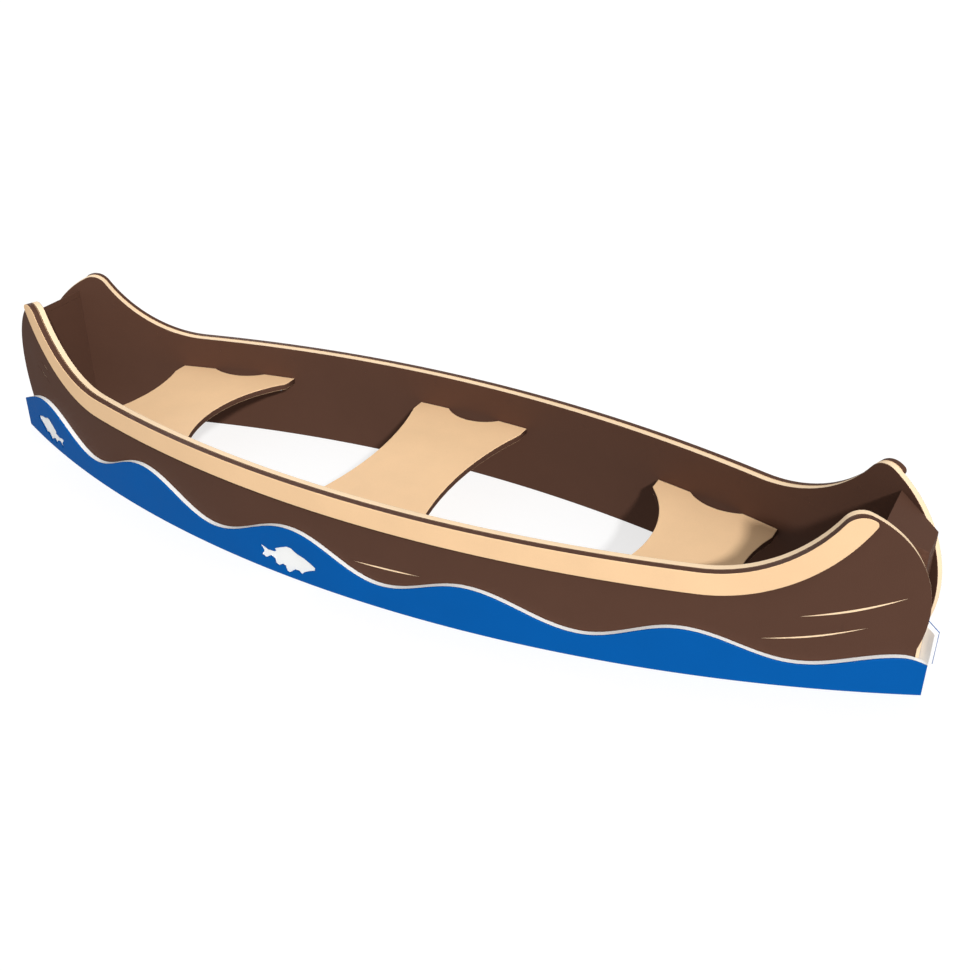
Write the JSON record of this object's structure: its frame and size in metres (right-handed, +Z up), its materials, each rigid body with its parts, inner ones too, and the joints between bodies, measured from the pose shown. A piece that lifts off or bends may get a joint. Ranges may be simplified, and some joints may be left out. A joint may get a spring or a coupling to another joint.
{
  "type": "play canoe",
  "caption": "Static play canoe of bent coloured plastic sheet, with bench seats, rub rails, wave-shaped skirt panels and closed end boxes; open at the bottom.",
  "frame": {"origin": "on the ground, in the middle of the canoe's footprint", "axes": "+X towards the bow (the end with the lower seat), +Y to port, +Z up"},
  "size_m": [2.892, 0.773, 0.491],
  "materials": {
    "brown_sheet": "fine-textured solid-coloured polyethylene sheet, brown with a beige core",
    "beige_sheet": "fine-textured polyethylene sheet, beige with a brown core",
    "blue_sheet": "fine-textured polyethylene sheet, blue outside with a white core and back",
    "zinc_steel": "zinc plated"
  },
  "bodies": {
    "root": {"starboard_side": "brown_sheet", "port_side": "brown_sheet", "starboard_rail": "beige_sheet", "port_rail": "beige_sheet", "starboard_wave": "blue_sheet", "port_wave": "blue_sheet", "stern_seat": "beige_sheet", "middle_seat": "beige_sheet", "bow_seat": "beige_sheet", "bow_bulkhead": "brown_sheet", "bow_deck": "brown_sheet", "bow_stem_board": "brown_sheet", "stern_bulkhead": "brown_sheet", "stern_deck": "brown_sheet", "stern_stem_board": "brown_sheet", "bow_cleats": "brown_sheet", "stern_cleats": "brown_sheet", "stern_seat_brackets": "zinc_steel", "middle_seat_brackets": "zinc_steel", "bow_seat_brackets": "zinc_steel", "ground_anchors": "zinc_steel", "rail_screws": "zinc_steel", "wave_screws": "zinc_steel", "rail_screw_caps": "brown_sheet", "wave_screw_caps": "brown_sheet", "bracket_side_screws": "zinc_steel", "bracket_seat_screws": "zinc_steel", "cleat_screws": "zinc_steel", "deck_screws": "zinc_steel", "deck_screw_caps": "brown_sheet", "anchor_screws": "zinc_steel"}
  },
  "joints": []
}
